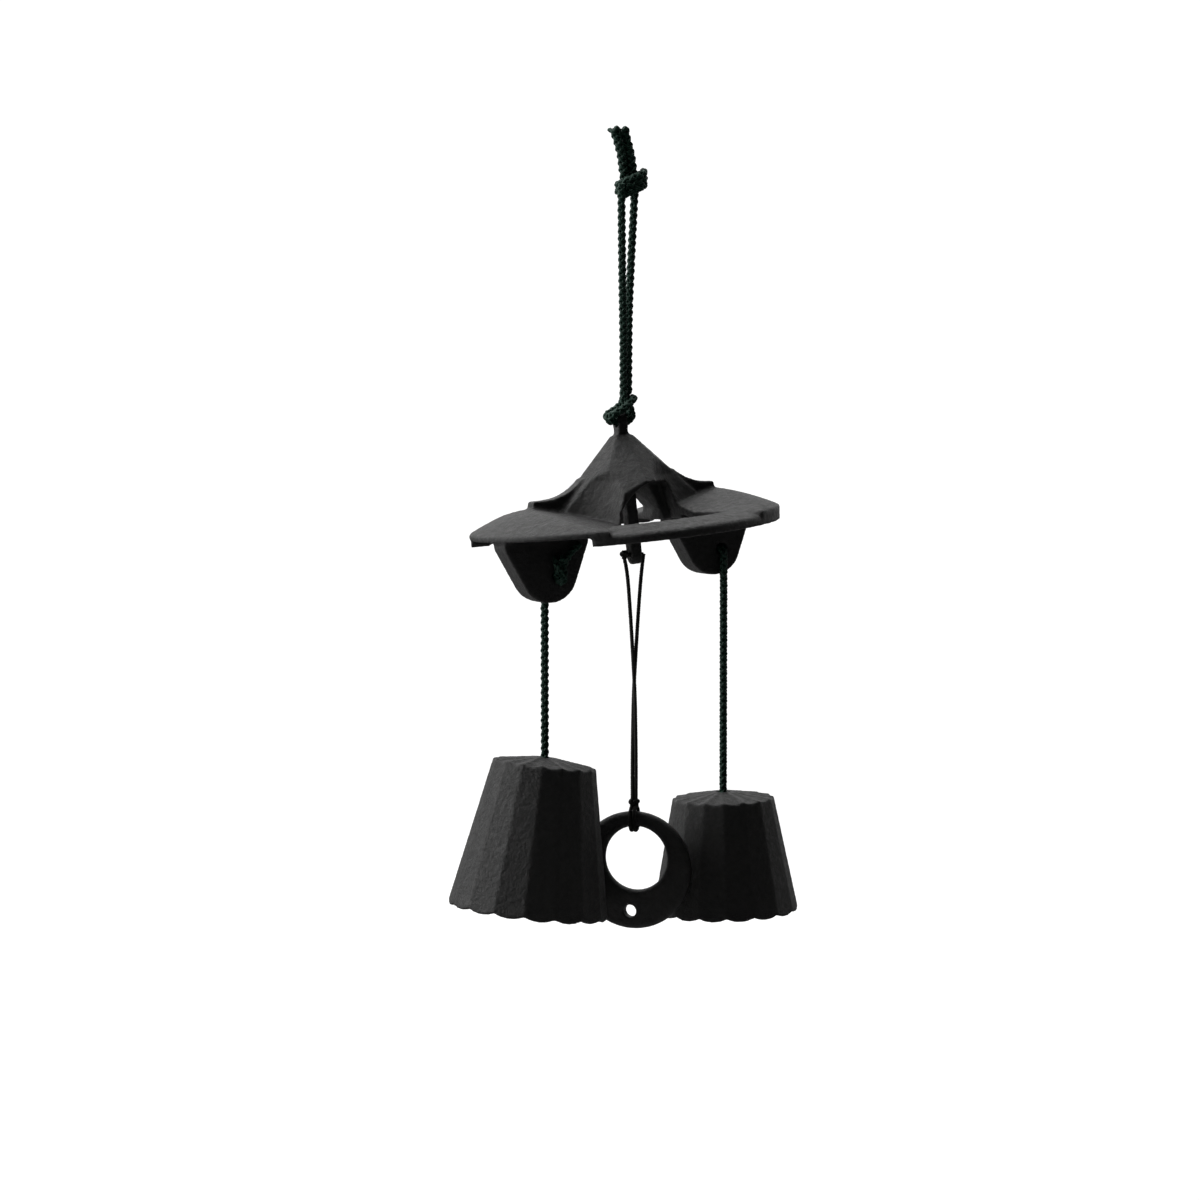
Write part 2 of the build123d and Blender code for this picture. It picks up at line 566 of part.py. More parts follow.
# Ring clapper, turned about the vertical between the bells
RING_CENTRE = TONGUE - Vector(0, 0, CLAPPER_DROP)
RING_AXIS = Vector(sin(radians(RING_TURN)), -cos(radians(RING_TURN)), 0)
RING_ALONG = Vector(cos(radians(RING_TURN)), sin(radians(RING_TURN)), 0)
RING = Plane(origin=RING_CENTRE, x_dir=RING_ALONG, z_dir=RING_AXIS)
with BuildPart() as clapper_ring:
    with BuildSketch(RING):
        Circle(RING_D / 2)
        with Locations((RING_HOLE_SIDE, RING_HOLE_RISE)):
            Circle(RING_HOLE_D / 2, mode=Mode.SUBTRACT)
    extrude(amount=RING_THICKNESS / 2, both=True)
    fillet(clapper_ring.edges(), RING_EDGE)
    with BuildSketch(RING):
        with Locations((STRIP_HOLE_SIDE, -STRIP_HOLE_DROP)):
            Circle(STRIP_HOLE_D / 2)
    extrude(amount=RING_THICKNESS / 2, both=True, mode=Mode.SUBTRACT)
save(clapper_ring.part, "clapper_ring")

# Clapper cord: through the tongue, two strands, a knot and the loop round the ring's narrow side
RING_BAND = RING_D / 2 - RING_HOLE_RISE - RING_HOLE_D / 2
LOOP_R = max(RING_BAND, RING_THICKNESS) / 2 + CORD_GAP + THIN_CORD_D
LOOP_CENTRE = RING_CENTRE + Vector(0, 0, RING_D / 2 - RING_BAND / 2)
with BuildPart(Plane(origin=LOOP_CENTRE, x_dir=RING_AXIS, z_dir=RING_ALONG)) as clapper_loop:
    Torus(LOOP_R, THIN_CORD_D / 2)
save(clapper_loop.part, "clapper_loop")
KNOT_PLACE = LOOP_CENTRE + Vector(0, 0, LOOP_R + CLAPPER_KNOT_HEIGHT / 2)
make_knot("clapper_knot", upright(KNOT_PLACE), CLAPPER_KNOT_D, CLAPPER_KNOT_HEIGHT)
TONGUE_STAND = TONGUE_THICKNESS / 2 + TONGUE_ROOM + THIN_CORD_D / 2
STRAND_STAND = THIN_CORD_D / 2 + CORD_GAP / 2
for side, name in ((-1, "left"), (1, "right")):
    start = TONGUE + Vector(side * TONGUE_STAND, 0, (side - 1) / 2 * (TONGUE_KNOT_D / 2 + SWING_ROOM))
    meet = TONGUE + Vector(side * STRAND_STAND, 0, -STRANDS_MEET)
    end = KNOT_PLACE + Vector(side * STRAND_STAND, 0, CLAPPER_KNOT_HEIGHT / 2 + CORD_GAP)
    make_cord(f"clapper_strand_{name}", [start, meet, end], THIN_CORD_D)
TONGUE_KNOT = TONGUE - Vector(TONGUE_THICKNESS / 2 + CORD_GAP + TONGUE_KNOT_HEIGHT / 2, 0, 0)
with BuildPart() as tongue_knot:
    knot_plane = Plane(origin=TONGUE_KNOT, x_dir=(0, 0, -1), z_dir=(0, -1, 0))
    add(knot_outline(knot_plane, TONGUE_KNOT_D, TONGUE_KNOT_HEIGHT))
    revolve(axis=Axis(TONGUE_KNOT, (1, 0, 0)))
    with BuildSketch(Plane(origin=TONGUE_KNOT, z_dir=(1, 0, 0))):
        Circle(THIN_CORD_D / 2)
    extrude(amount=TONGUE_THICKNESS + TONGUE_KNOT_HEIGHT / 2 + CORD_GAP)
save(tongue_knot.part, "tongue_knot")
print("eye", EYE, "tongue", TONGUE, "holes", LEFT_HOLE, RIGHT_HOLE, "ring", RING_CENTRE, "knot", KNOT_PLACE)
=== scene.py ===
from math import atan, cos, pi, radians, sin

import bmesh
import bpy
from mathutils import Matrix, Vector, noise


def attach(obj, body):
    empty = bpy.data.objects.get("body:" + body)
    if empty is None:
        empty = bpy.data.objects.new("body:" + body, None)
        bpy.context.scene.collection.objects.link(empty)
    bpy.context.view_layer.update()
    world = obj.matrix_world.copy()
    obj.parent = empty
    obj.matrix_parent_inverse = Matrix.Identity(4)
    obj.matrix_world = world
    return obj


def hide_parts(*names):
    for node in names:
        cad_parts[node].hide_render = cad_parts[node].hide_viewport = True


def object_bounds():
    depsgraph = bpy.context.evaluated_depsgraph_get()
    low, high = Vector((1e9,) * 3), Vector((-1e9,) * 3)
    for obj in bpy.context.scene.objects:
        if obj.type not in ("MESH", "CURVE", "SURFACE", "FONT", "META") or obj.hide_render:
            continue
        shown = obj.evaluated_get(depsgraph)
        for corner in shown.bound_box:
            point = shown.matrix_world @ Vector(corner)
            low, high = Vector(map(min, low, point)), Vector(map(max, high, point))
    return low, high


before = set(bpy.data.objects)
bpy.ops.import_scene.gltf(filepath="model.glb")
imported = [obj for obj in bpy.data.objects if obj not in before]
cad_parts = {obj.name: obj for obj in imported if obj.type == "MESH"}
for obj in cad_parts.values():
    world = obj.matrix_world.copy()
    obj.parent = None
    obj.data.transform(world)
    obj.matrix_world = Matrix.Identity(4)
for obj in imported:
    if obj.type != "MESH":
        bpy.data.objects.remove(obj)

CAD_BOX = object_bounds()
MM = 0.001

# The photograph's frame, in pixels, and the camera that it was taken with
PHOTO_SIZE = 1200
PHOTO_AZIMUTH = -21.0
PIXELS_PER_METRE = 2600.0
HANG_PIXEL_X = 628.0
HORIZON_PIXEL_Y = 440.0
HORIZON_HEIGHT = -0.0912
CAMERA_DISTANCE = 1.1
SENSOR_WIDTH = 36.0

# Diameters of the green and the black cord, and how much fuller the black one's loose plies are
CORD_D = 3.0 * MM
THIN_CORD_D = 1.3 * MM
THIN_SWELL = 1.12


def new_material(name):
    """A node material and its principled shader."""
    material = bpy.data.materials.new(name)
    material.use_nodes = True
    return material, material.node_tree, material.node_tree.nodes["Principled BSDF"]


def add_node(tree, kind, **settings):
    """A node with its inputs set by name."""
    node = tree.nodes.new(kind)
    for name, value in settings.items():
        node.inputs[name.replace("_", " ")].default_value = value
    return node


def add_ramp(tree, source, low, high, low_at=0.3, high_at=0.7):
    """A colour ramp between two colours, driven by a value."""
    ramp = tree.nodes.new("ShaderNodeValToRGB")
    ramp.color_ramp.elements[0].color = (*low, 1)
    ramp.color_ramp.elements[0].position = low_at
    ramp.color_ramp.elements[1].color = (*high, 1)
    ramp.color_ramp.elements[1].position = high_at
    tree.links.new(source, ramp.inputs["Fac"])
    return ramp.outputs["Color"]


def cast_iron():
    """Black cast iron: sand grain, faint mottling and a satin skin."""
    material, tree, shader = new_material("cast_iron")
    place = tree.nodes.new("ShaderNodeTexCoord").outputs["Object"]
    mottle = add_node(tree, "ShaderNodeTexNoise", Scale=140.0, Detail=6.0, Roughness=0.6)
    tree.links.new(place, mottle.inputs["Vector"])
    tint = add_ramp(tree, mottle.outputs["Fac"], (0.0025, 0.0025, 0.0026), (0.0068, 0.0066, 0.0061))
    tree.links.new(tint, shader.inputs["Base Color"])
    satin = add_node(tree, "ShaderNodeTexNoise", Scale=420.0, Detail=4.0, Roughness=0.7)
    tree.links.new(place, satin.inputs["Vector"])
    gloss = add_ramp(tree, satin.outputs["Fac"], (0.47, 0.47, 0.47), (0.68, 0.68, 0.68))
    tree.links.new(gloss, shader.inputs["Roughness"])
    grain = add_node(tree, "ShaderNodeTexNoise", Scale=850.0, Detail=5.0, Roughness=0.7)
    tree.links.new(place, grain.inputs["Vector"])
    bump = add_node(tree, "ShaderNodeBump", Strength=0.8, Distance=0.0006)
    tree.links.new(grain.outputs["Fac"], bump.inputs["Height"])
    tree.links.new(bump.outputs["Normal"], shader.inputs["Normal"])
    shader.inputs["Specular IOR Level"].default_value = 0.45
    return material


def yarn(name, dark, light):
    """Yarn: fine fibres along each strand, mottled dark and light, with a soft sheen."""
    material, tree, shader = new_material(name)
    place = tree.nodes.new("ShaderNodeUVMap").outputs["UV"]
    fibre = add_node(tree, "ShaderNodeTexNoise", Scale=7.0, Detail=3.0, Roughness=0.6)
    stretch = add_node(tree, "ShaderNodeMapping", Scale=(0.25, 2.0, 1.0))
    tree.links.new(place, stretch.inputs["Vector"])
    tree.links.new(stretch.outputs["Vector"], fibre.inputs["Vector"])
    tint = add_ramp(tree, fibre.outputs["Fac"], dark, light)
    tree.links.new(tint, shader.inputs["Base Color"])
    bump = add_node(tree, "ShaderNodeBump", Strength=0.5, Distance=0.0002)
    tree.links.new(fibre.outputs["Fac"], bump.inputs["Height"])
    tree.links.new(bump.outputs["Normal"], shader.inputs["Normal"])
    shader.inputs["Roughness"].default_value = 0.62
    shader.inputs["Specular IOR Level"].default_value = 0.3
    return material


IRON = cast_iron()
GREEN = yarn("green_cord", (0.0015, 0.011, 0.0065), (0.006, 0.047, 0.028))
BLACK = yarn("black_cord", (0.004, 0.004, 0.0035), (0.013, 0.012, 0.010))


def link(name, mesh, material):
    """A mesh as a piece of the scene, smooth all over, with one material."""
    piece = bpy.data.objects.new(name, mesh)
    bpy.context.scene.collection.objects.link(piece)
    mesh.materials.clear()
    mesh.materials.append(material)
    for face in mesh.polygons:
        face.use_smooth = True
    return piece


def stand_for(piece, body, slot, *nodes):
    """A piece rides on a body, in the place of CAD nodes."""
    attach(piece, body)
    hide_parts(*nodes)


# Castings: size of the mesh's cells, rounds of softening, and depth and size of the sand's roughness
CANOPY_CELL, BELL_CELL, RING_CELL = 0.6 * MM, 0.5 * MM, 0.4 * MM
SOFTEN, RING_SOFTEN = 4, 3
CANOPY_GRAIN, CANOPY_GRAIN_SIZE = 0.10 * MM, 1.8 * MM
BELL_GRAIN, RING_GRAIN, SMALL_GRAIN_SIZE = 0.08 * MM, 0.04 * MM, 1.5 * MM
FINE_GRAIN_SIZE, FINE_GRAIN_SHARE = 0.4, 0.5
WELD = 0.002 * MM


def casting(node, body, cell, soften, grain_depth, grain_size):
    """An iron casting: the node's shape with softened edges and a rough sand skin."""
    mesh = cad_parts[node].data.copy()
    whole = bmesh.new()
    whole.from_mesh(mesh)
    bmesh.ops.remove_doubles(whole, verts=whole.verts, dist=WELD)
    whole.to_mesh(mesh)
    whole.free()
    holder = bpy.data.objects.new("holder", mesh)
    bpy.context.scene.collection.objects.link(holder)
    skin = holder.modifiers.new("skin", "REMESH")
    skin.mode = "VOXEL"
    skin.voxel_size = cell
    round_off = holder.modifiers.new("round_off", "SMOOTH")
    round_off.iterations = soften
    round_off.factor = 0.5
    bpy.context.view_layer.update()
    shaped = bpy.data.meshes.new_from_object(holder.evaluated_get(bpy.context.evaluated_depsgraph_get()))
    bpy.data.objects.remove(holder)
    shaped.name = f"{node}_casting"
    normals = [v.normal.copy() for v in shaped.vertices]
    for vertex, normal in zip(shaped.vertices, normals):
        coarse = noise.noise(vertex.co / grain_size)
        fine = noise.noise(vertex.co / (grain_size * FINE_GRAIN_SIZE))
        vertex.co += normal * grain_depth * (coarse + FINE_GRAIN_SHARE * fine)
    piece = link(f"{node}_casting", shaped, IRON)
    stand_for(piece, body, "cast_iron", node)


casting("canopy", "canopy", CANOPY_CELL, SOFTEN, CANOPY_GRAIN, CANOPY_GRAIN_SIZE)
casting("bell_left", "bell_left", BELL_CELL, SOFTEN, BELL_GRAIN, SMALL_GRAIN_SIZE)
casting("bell_right", "bell_right", BELL_CELL, SOFTEN, BELL_GRAIN, SMALL_GRAIN_SIZE)
casting("clapper_ring", "clapper", RING_CELL, RING_SOFTEN, RING_GRAIN, SMALL_GRAIN_SIZE)

# Cords and knots. The yarns' sizes are shares of the cord's radius.
BRAID_PITCH = 8.0 * MM
BRAID_PAIRS = 3
BRAID_CORE = 0.6
BRAID_REACH = 0.60
BRAID_WAVE = 0.12
BRAID_YARN = 0.40
TWIST_PITCH = 2.4 * MM
PLY = 3
PLY_REACH = 0.54
PLY_YARN = 0.56
YARN_SIDES = 6
KNOT_STEPS = 24
KNOT_FINENESS = 14
THIN_KNOT_FINENESS = 10


def spline_points(points, fineness):
    """Points along a NURBS spline that has the given places, in millimetres, as its control points."""
    curve = bpy.data.curves.new("route", "CURVE")
    curve.dimensions = "3D"
    curve.resolution_u = fineness
    spline = curve.splines.new("NURBS")
    spline.points.add(len(points) - 1)
    for control, place in zip(spline.points, points):
        control.co = (*(Vector(place) * MM), 1)
    spline.order_u = 3
    spline.use_endpoint_u = True
    holder = bpy.data.objects.new("route", curve)
    bpy.context.scene.collection.objects.link(holder)
    bpy.context.view_layer.update()
    line = bpy.data.meshes.new_from_object(holder.evaluated_get(bpy.context.evaluated_depsgraph_get()))
    places = [v.co.copy() for v in line.vertices]
    bpy.data.objects.remove(holder)
    return places


def stations(line):
    """Each point of a line with its distance along it and two crosswise directions that don't twist."""
    ahead = [(b - a).normalized() for a, b in zip(line, line[1:])]
    ahead.append(ahead[-1])
    side = ahead[0].orthogonal().normalized()
    distance = 0.0
    rows = []
    for index, place in enumerate(line):
        if index:
            distance += (place - line[index - 1]).length
            side = ahead[index - 1].rotation_difference(ahead[index]) @ side
        rows.append((place, distance, side.copy(), ahead[index].cross(side)))
    return rows


class Yarns:
    """Tubes that are gathered into one mesh, with each one's length and girth as its UVs."""

    def __init__(self):
        self.places, self.faces, self.uvs = [], [], []

    def tube(self, path, radius):
        """A tube along a path, closed at both ends."""
        sides = YARN_SIDES
        first = len(self.places)
        rows = stations(path)
        for place, _, side, up in rows:
            for corner in range(sides):
                angle = 2 * pi * corner / sides
                self.places.append(place + (side * cos(angle) + up * sin(angle)) * radius)
        for row in range(len(rows) - 1):
            along = (rows[row][1] / MM, rows[row + 1][1] / MM)
            for corner in range(sides):
                start = first + row * sides
                after = (corner + 1) % sides
                self.faces.append((start + corner, start + after, start + sides + after, start + sides + corner))
                around = (corner / sides, (corner + 1) / sides)
                self.uvs += [(along[0], v) for v in around] + [(along[1], v) for v in reversed(around)]
        last = first + (len(rows) - 1) * sides
        near_end = (range(first + sides - 1, first - 1, -1), 0.0)
        far_end = (range(last, last + sides), rows[-1][1] / MM)
        for ring, whole in (near_end, far_end):
            self.faces.append(tuple(ring))
            self.uvs += [(whole, corner / sides) for corner in range(sides)]

    def piece(self, name, material):
        """The gathered tubes as a piece of the scene."""
        mesh = bpy.data.meshes.new(name)
        mesh.from_pydata(self.places, [], self.faces)
        layer = mesh.uv_layers.new(name="UVMap")
        for loop, uv in zip(layer.data, self.uvs):
            loop.uv = uv
        return link(name, mesh, material)


def braid(yarns, line, diameter, fray=0.0):
    """A round braid of six yarns along a line, three each way. Its far end opens out by the fray, in radii."""
    rows = stations(line)
    radius = diameter / 2
    whole = rows[-1][1]
    yarns.tube(line, radius * BRAID_CORE)
    for way in (1, -1):
        for pair in range(BRAID_PAIRS):
            path = []
            for place, distance, side, up in rows:
                angle = way * 2 * pi * distance / BRAID_PITCH + 2 * pi * pair / BRAID_PAIRS
                open_end = max(0.0, 1 - (whole - distance) / diameter) ** 2 * fray
                reach = radius * (BRAID_REACH + way * BRAID_WAVE * cos(BRAID_PAIRS * angle) + open_end)
                path.append(place + (side * cos(angle) + up * sin(angle)) * reach)
            yarns.tube(path, radius * BRAID_YARN)


def twist(yarns, line, diameter):
    """A laid cord of three plies along a line."""
    rows = stations(line)
    radius = diameter / 2
    for ply in range(PLY):
        path = []
        for place, distance, side, up in rows:
            angle = 2 * pi * (distance / TWIST_PITCH + ply / PLY)
            path.append(place + (side * cos(angle) + up * sin(angle)) * radius * PLY_REACH)
        yarns.tube(path, radius * PLY_YARN)


def overhand(centre, across, upward, size, ends=()):
    """Control points of an overhand knot about a centre, facing along across x upward, with points for its ends."""
    outward = across.cross(upward)
    points = []
    for step in range(KNOT_STEPS):
        turn = 2 * pi * (step + 0.5) / KNOT_STEPS
        points.append(
            centre
            + across * size[0] * (sin(turn) + 2 * sin(2 * turn)) / 3
            + upward * size[1] * (cos(turn) - 2 * cos(2 * turn)) / 3
            - outward * size[2] * sin(3 * turn)
        )
    return points + [Vector(end) for end in ends]


# Places of the CAD model, in millimetres, and the ring's own axis
EYE = Vector((-3.371, 0, -83.799))
TONGUE = Vector((2.630, 0, -135.153))
LEFT_HOLE = Vector((-35.984, -7.0, -141.825))
RIGHT_HOLE = Vector((42.384, 7.0, -133.589))
KNOT_PLACE = Vector((2.630, 0, -231.553))
RING_AXIS = Vector((-0.5878, -0.8090, 0))
LOOP_MIDDLE = Vector((2.630, 0, -237.503))
X_AXIS, Y_AXIS, Z_AXIS = Vector((1, 0, 0)), Vector((0, 1, 0)), Vector((0, 0, 1))


def green(name, body, lines, fray, *nodes, swell=1.0):
    """A piece of green braid along one or more lines, in the place of CAD nodes, thicker where it is slack."""
    yarns = Yarns()
    for line in lines:
        braid(yarns, line, CORD_D * swell, fray)
    piece = yarns.piece(name, GREEN)
    stand_for(piece, body, "green_cord", *nodes)
    return piece


def black(name, body, lines, *nodes):
    """A piece of thin black cord along one or more lines, in the place of CAD nodes."""
    yarns = Yarns()
    for line in lines:
        twist(yarns, line, THIN_CORD_D * THIN_SWELL)
    piece = yarns.piece(name, BLACK)
    stand_for(piece, body, "black_cord", *nodes)
    return piece


# Hanging loop: two strands up from the hitch on the eye, the wound knot round them and two frayed tails
STRANDS_X = -0.9
STRANDS_FOOT = -73.098
TAIL_FRAY = 0.4
TAIL_SWELL = 1.25
COIL_START = radians(222)
COIL_STEPS = 30
COIL_STEPS_A_TURN = 12
COIL_MIDDLE_X, COIL_FOOT = 1.2, 3.6
COIL_HALF_WIDTH, COIL_HALF_DEPTH = 5.2, 4.2
COIL_RISE, COIL_LEAN = 2.4, 2.0
COIL = []
for step in range(COIL_STEPS):
    turn = COIL_START + 2 * pi * step / COIL_STEPS_A_TURN
    COIL.append((
        COIL_MIDDLE_X + COIL_HALF_WIDTH * cos(turn),
        COIL_HALF_DEPTH * sin(turn),
        COIL_FOOT + COIL_RISE * step / COIL_STEPS_A_TURN + COIL_LEAN * cos(turn),
    ))
upper_knot = green("upper_knot_coil", "loop", [spline_points(COIL, KNOT_FINENESS)], 0.0, "upper_knot")
for side, name in ((-1, "front"), (1, "back")):
    strand = spline_points(
        [
            (STRANDS_X + 1.3 * side, 0.8 * side, STRANDS_FOOT), (STRANDS_X + 1.3 * side, 0.8 * side, -53.0),
            (STRANDS_X + 2.2 * side, 1.9 * side, -33.0), (4.4 * side, 4.0 * side, 6.05),
        ], 200)
    piece = green(f"strand_{name}_braid", "loop", [strand], 0.0, f"strand_{name}")
    root = Vector((1.8 * side, 0, 10.55))
    tail = [(1.0 + 1.5 * side, 0, 4.0), root, root + Vector((-1, 0.3 * side, 8.5)), root + Vector((-4, 0, 17))]
    tail_line = spline_points(tail, 40)
    frayed = green(f"tail_{name}_braid", "loop", [tail_line], TAIL_FRAY, f"tail_{name}", swell=TAIL_SWELL)

# Hitch on the eye: both strands go down its right side and through, and the bight comes back round them
HITCH_SIDE = [
    (1.2, -0.8, 11.4), (0.6, -1.7, 7.2), (3.4, -1.8, 5.4), (4.8, -1.3, 1.6), (2.6, -1.1, -0.4), (0, -1.1, -0.1),
    (-2.6, -1.1, -0.4), (-4.4, -1.6, 0.2), (-4.3, -3.2, 2.4), (-0.6, -4.2, 4.0), (3.4, -3.6, 7.4),
]
HITCH = [EYE + Vector(p) for p in HITCH_SIDE] + [EYE + Vector((6.2, 0, 9.2))]
HITCH += [EYE + Vector((x, -y, z)) for x, y, z in reversed(HITCH_SIDE[1:])] + [EYE + Vector((3.8, 0.8, 11.4))]
green("eye_hitch", "eye_knot", [spline_points(HITCH, KNOT_FINENESS)], 0.0, "lower_knot", "eye_bight")

# Bell cords: from inside the lobe's hole, over its edge and down to a stopper knot under the bell's crown
CORD_TUCK = 2.5
CORD_REACH = 1.8
CORD_BEND = 6
CORD_HALF = 1.5
STOPPER_SIZE = (2.9, 2.9, 1.1)
STOPPER_DROP = 0.1
LOBE_MIDWAY = 8
LOBE_DEPTH = 15.9
LOBE_KNOT_BULGE = 1.3
LOBE_KNOTS = {"left": (3.4, 6.8), "right": (4.6, 4.6)}
LOBE_ENDS = {
    "left": [(-33.0, -22.6, -133.5), (-28.0, -21.8, -130.0)],
    "right": [(46.0, 22.3, -138.0), (47.0, 21.8, -143.0)],
}
LOBE_KNOT_LIFT = {"left": 3.0, "right": 0.0}
for side, name, hole, drop in ((-1, "left", LEFT_HOLE, 76.0), (1, "right", RIGHT_HOLE, 101.9)):
    inward = -side * Y_AXIS
    hang = hole + inward * CORD_REACH
    cord_points = [hole - inward * CORD_TUCK, hang, hang - Z_AXIS * CORD_BEND, hang - Z_AXIS * drop]
    line = spline_points(cord_points, 240)
    piece = green(f"bell_cord_{name}_braid", f"cord_{name}", [line], 0.0, f"bell_cord_{name}")
    stopper = spline_points(
        overhand(hang - Z_AXIS * (drop + STOPPER_DROP), X_AXIS, Y_AXIS, STOPPER_SIZE), KNOT_FINENESS)
    knot = green(f"bell_knot_{name}_overhand", f"cord_{name}", [stopper], 0.0, f"bell_knot_{name}")
    width, height = LOBE_KNOTS[name]
    outside = hole - inward * LOBE_DEPTH
    across = X_AXIS * -side
    tied_at = outside + Z_AXIS * LOBE_KNOT_LIFT[name]
    tied_size = (width - CORD_HALF, height - CORD_HALF, LOBE_KNOT_BULGE)
    tied = overhand(tied_at, across, Z_AXIS, tied_size, LOBE_ENDS[name])
    through = spline_points([hole - inward * CORD_TUCK, hole - inward * LOBE_MIDWAY, outside], 40)
    lines = [through, spline_points(tied, KNOT_FINENESS)]
    green(f"lobe_knot_{name}_overhand", "canopy", lines, 0.0, f"lobe_knot_{name}")

# Clapper cord: through the tongue, two strands that cross on their way down to a small knot, and the doubled loop
# round the ring's band
LOOP_SPLIT = 0.76
RING_KNOT_SIZE = (1.9, 1.4, 0.8)
TONGUE_KNOT_SIZE = (1.5, 1.4, 0.8)
LOOP_POINTS = [
    (0, 5.2), (3.0, 3.6), (3.6, 1.2), (3.6, -1.5), (2.4, -4.0), (0, -4.6),
    (-2.4, -4.0), (-3.6, -1.5), (-3.6, 1.2), (-3.0, 3.6), (0, 5.2),
]
ring_side = RING_AXIS.cross(Z_AXIS)
loop_lines = [
    spline_points([LOOP_MIDDLE + ring_side * split + RING_AXIS * a + Z_AXIS * z for a, z in LOOP_POINTS], 16)
    for split in (-LOOP_SPLIT, LOOP_SPLIT)
]
black("clapper_loop_cord", "clapper", loop_lines, "clapper_loop")
ring_knot = spline_points(overhand(KNOT_PLACE, X_AXIS, Z_AXIS, RING_KNOT_SIZE), THIN_KNOT_FINENESS)
black("clapper_knot_overhand", "clapper", [ring_knot], "clapper_knot")
start = TONGUE - X_AXIS * 4.1
tongue_tie = spline_points(overhand(start, Y_AXIS, Z_AXIS, TONGUE_KNOT_SIZE), THIN_KNOT_FINENESS)
tongue_run = spline_points([start, TONGUE, TONGUE + X_AXIS * 3.6], 30)
tongue_end = spline_points([start, start - Z_AXIS * 1.5, TONGUE + Vector((-3.85, 0, -2.9))], 30)
black("tongue_knot_overhand", "canopy", [tongue_tie, tongue_run, tongue_end], "tongue_knot")
for side, name, top in ((-1, "left", -2.7), (1, "right", 0.0)):
    strand = spline_points(
        [
            TONGUE + Vector((3.85 * side, 0, top)), TONGUE + Vector((2.9 * side, 0, -6.5)),
            TONGUE + Vector((1.75 * side, 0, -21)), TONGUE + Vector((0.9 * side, 0, -34)),
            TONGUE + Vector((0.55 * side, 0.5 * side, -43)), TONGUE + Vector((0.0, 0.78 * side, -54)),
            TONGUE + Vector((-0.3 * side, 0.7 * side, -68)), TONGUE + Vector((-0.55 * side, 0.55 * side, -82)),
            KNOT_PLACE + Vector((-0.6 * side, 0.3 * side, 0.9)),
        ], 160)
    piece = black(f"clapper_strand_{name}_cord", "clapper_cord", [strand], f"clapper_strand_{name}")

# Stage: white floor and backdrop. The floor is lit by the lamps round the object, where its shadow falls.
FLOOR_GAP = 0.12
FLOOR_HEIGHT = CAD_BOX[0][2] - FLOOR_GAP
NEAR_REACH, FAR_REACH, NEAR_GLOW = 0.42, 0.90, 0.76
DIM_BELOW, BRIGHT_ABOVE, DIM_GLOSS = -0.35, 0.10, 0.02


def map_range(tree, source, low, high, low_value, high_value):
    """A value carried from one range to another, held at the ends."""
    node = tree.nodes.new("ShaderNodeMapRange")
    for name, value in zip(("From Min", "From Max", "To Min", "To Max"), (low, high, low_value, high_value)):
        node.inputs[name].default_value = value
    tree.links.new(source, node.inputs["Value"])
    return node.outputs["Result"]


def combine(tree, operation, first, second):
    """Two values put together by a Math node."""
    node = tree.nodes.new("ShaderNodeMath")
    node.operation = operation
    tree.links.new(first, node.inputs[0])
    tree.links.new(second, node.inputs[1])
    return node.outputs["Value"]


def seen_glow(tree, to_camera, to_gloss):
    """A strength that the camera sees, and another that reflections and clear materials see."""
    path = tree.nodes.new("ShaderNodeLightPath")
    camera_part = combine(tree, "MULTIPLY", path.outputs["Is Camera Ray"], to_camera)
    mirrored = combine(tree, "MAXIMUM", path.outputs["Is Glossy Ray"], path.outputs["Is Transmission Ray"])
    return combine(tree, "ADD", camera_part, combine(tree, "MULTIPLY", mirrored, to_gloss))


def white_stage():
    """Plain white, bright far from the object and lit by the lamps near it, dim to reflections below the horizon."""
    material, tree, shader = new_material("stage_white")
    shader.inputs["Base Color"].default_value = (0.35, 0.35, 0.35, 1)
    shader.inputs["Roughness"].default_value = 0.9
    shader.inputs["Emission Color"].default_value = (1, 1, 1, 1)
    place = tree.nodes.new("ShaderNodeTexCoord").outputs["Object"]
    reach = tree.nodes.new("ShaderNodeVectorMath")
    reach.operation = "LENGTH"
    tree.links.new(place, reach.inputs[0])
    height = tree.nodes.new("ShaderNodeSeparateXYZ")
    tree.links.new(place, height.inputs["Vector"])
    to_camera = map_range(tree, reach.outputs["Value"], NEAR_REACH, FAR_REACH, NEAR_GLOW, 1.0)
    to_gloss = map_range(tree, height.outputs["Z"], DIM_BELOW, BRIGHT_ABOVE, DIM_GLOSS, 1.0)
    tree.links.new(seen_glow(tree, to_camera, to_gloss), shader.inputs["Emission Strength"])
    return material


WHITE = white_stage()


def plane(name, corners, material):
    """A flat four-cornered sheet of the stage."""
    mesh = bpy.data.meshes.new(name)
    mesh.from_pydata(corners, [], [(0, 1, 2, 3)])
    sheet = bpy.data.objects.new(name, mesh)
    bpy.context.scene.collection.objects.link(sheet)
    mesh.materials.append(material)


TURN = Matrix.Rotation(radians(PHOTO_AZIMUTH), 4, "Z")
STAGE_HALF = 2.5
BACKDROP_DEPTH = 1.6
BACKDROP_HEIGHT = 2.4
plane(
    "floor",
    [TURN @ Vector((x, y, FLOOR_HEIGHT)) for x, y in (
        (-STAGE_HALF, -STAGE_HALF), (STAGE_HALF, -STAGE_HALF),
        (STAGE_HALF, BACKDROP_DEPTH), (-STAGE_HALF, BACKDROP_DEPTH))],
    WHITE,
)
plane(
    "backdrop",
    [TURN @ Vector((x, BACKDROP_DEPTH, z)) for x, z in (
        (-STAGE_HALF, FLOOR_HEIGHT), (STAGE_HALF, FLOOR_HEIGHT),
        (STAGE_HALF, FLOOR_HEIGHT + BACKDROP_HEIGHT), (-STAGE_HALF, FLOOR_HEIGHT + BACKDROP_HEIGHT))],
    WHITE,
)

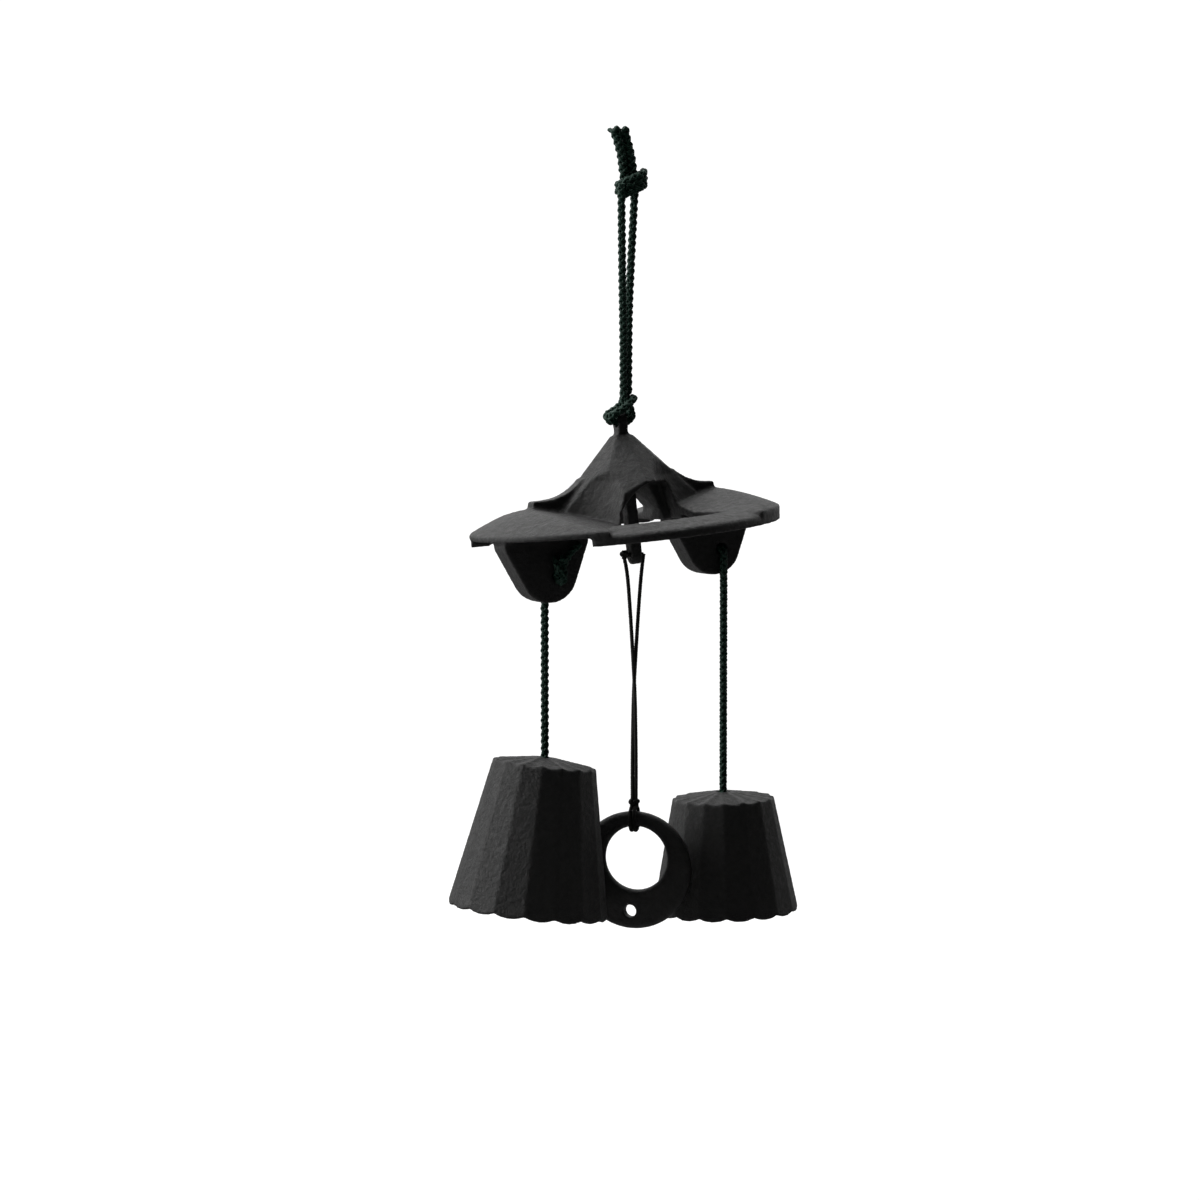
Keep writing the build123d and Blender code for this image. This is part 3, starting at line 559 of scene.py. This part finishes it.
# Light: a large soft box above, a tall one at the left and a weak fill
AIM = Vector((0, 0, -0.15))


def soft_box(name, place, width, height, power):
    """A rectangular soft light aimed at the object, placed by right, depth and up as the camera sees them."""
    lamp = bpy.data.lights.new(name, "AREA")
    lamp.shape = "RECTANGLE"
    lamp.size = width
    lamp.size_y = height
    lamp.energy = power
    holder = bpy.data.objects.new(name, lamp)
    bpy.context.scene.collection.objects.link(holder)
    holder.location = TURN @ Vector(place)
    holder.rotation_euler = (AIM - holder.location).to_track_quat("-Z", "Y").to_euler()


soft_box("top_light", (-0.15, 0.15, 0.75), width=0.9, height=0.9, power=9.0)
soft_box("left_light", (-0.90, 0.0, 0.20), width=0.40, height=0.7, power=8.5)
soft_box("fill_light", (0.6, -1.1, 0.2), width=0.8, height=0.8, power=0.1)

# World: white to the camera all round, and to reflections only behind the object
FRONT_EDGE, BACK_EDGE, FRONT_GLOSS = 0.2, 0.7, 0.015
world = bpy.data.worlds.new("studio")
bpy.context.scene.world = world
world.use_nodes = True
sky_tree = world.node_tree
sky = sky_tree.nodes["Background"]
sky.inputs["Color"].default_value = (1, 1, 1, 1)
toward = sky_tree.nodes.new("ShaderNodeVectorMath")
toward.operation = "DOT_PRODUCT"
toward.inputs[1].default_value = TURN @ Vector((0, 1, 0))
sky_tree.links.new(sky_tree.nodes.new("ShaderNodeTexCoord").outputs["Generated"], toward.inputs[0])
behind = map_range(sky_tree, toward.outputs["Value"], FRONT_EDGE, BACK_EDGE, FRONT_GLOSS, 1.0)
all_round = sky_tree.nodes.new("ShaderNodeValue").outputs["Value"]
all_round.default_value = 1.0
sky_tree.links.new(seen_glow(sky_tree, all_round, behind), sky.inputs["Strength"])

# Camera at the photograph's view
camera = bpy.data.cameras.new("camera")
camera_holder = bpy.data.objects.new("camera", camera)
bpy.context.scene.collection.objects.link(camera_holder)
focal_pixels = PIXELS_PER_METRE * CAMERA_DISTANCE
camera.sensor_width = SENSOR_WIDTH
camera.lens = focal_pixels / PHOTO_SIZE * SENSOR_WIDTH
sideways = (PHOTO_SIZE / 2 - HANG_PIXEL_X) / PIXELS_PER_METRE
pitch = atan((PHOTO_SIZE / 2 - HORIZON_PIXEL_Y) / focal_pixels)
camera_holder.location = TURN @ Vector((sideways, -CAMERA_DISTANCE, HORIZON_HEIGHT))
camera_holder.rotation_euler = (pi / 2 - pitch, 0, radians(PHOTO_AZIMUTH))
bpy.context.scene.camera = camera_holder
bpy.context.scene.view_settings.view_transform = "Standard"
